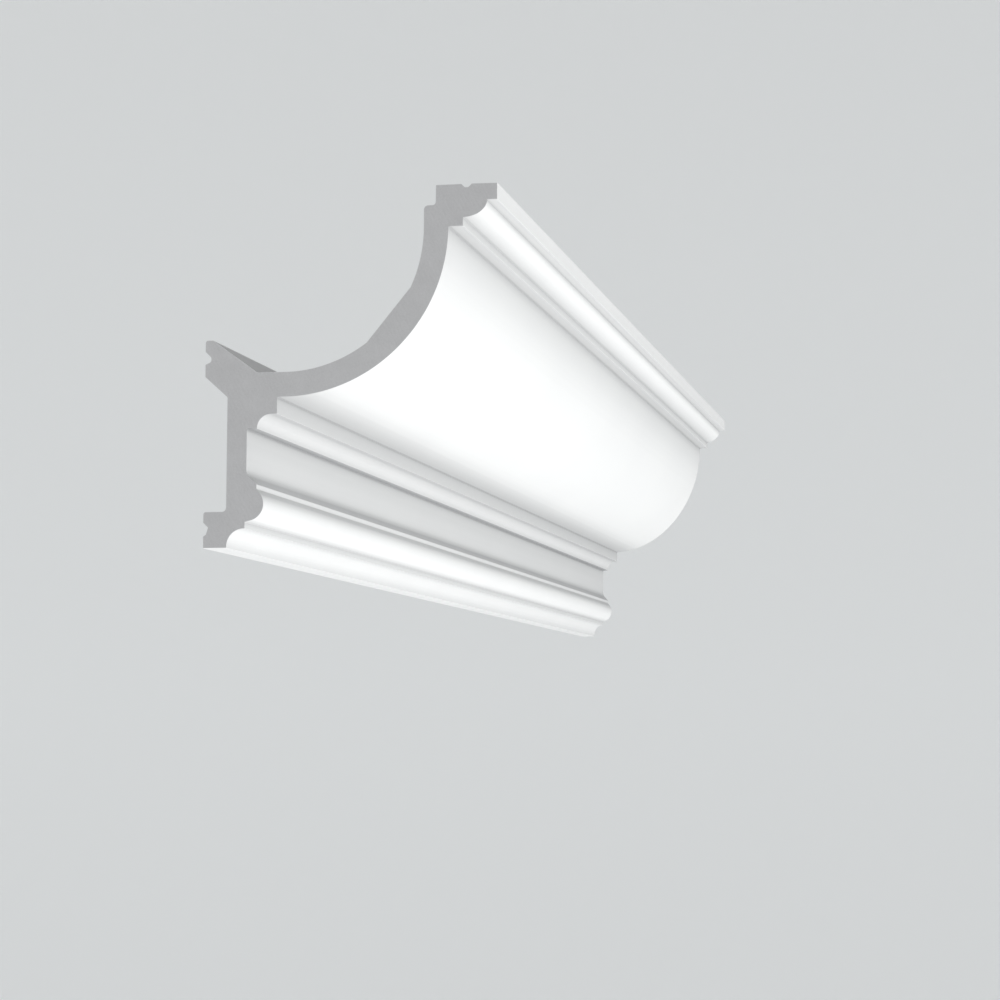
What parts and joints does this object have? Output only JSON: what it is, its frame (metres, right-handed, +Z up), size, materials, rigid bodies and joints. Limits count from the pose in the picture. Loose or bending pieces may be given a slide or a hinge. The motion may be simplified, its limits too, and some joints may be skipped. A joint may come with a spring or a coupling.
{
  "type": "cornice moulding length",
  "caption": "Hollow-backed cornice moulding for the corner of wall and ceiling: a quarter-round shell between a stepped lip and a moulded foot, with a square end and a mitred end.",
  "frame": {"origin": "on the wall plane, half way along the wall edge, in the middle of the flat strip below the lower wall land's glue groove, 2.8 mm above the underside", "axes": "+X out from the wall into the room, +Y along the wall towards the mitred end, +Z up to the ceiling"},
  "size_m": [0.142, 1.034, 0.17],
  "materials": {
    "primed_foam": "factory primed in satin white, with the grey foam bare at the two sawn ends"
  },
  "bodies": {
    "root": {"cornice_length": "primed_foam"}
  },
  "joints": []
}
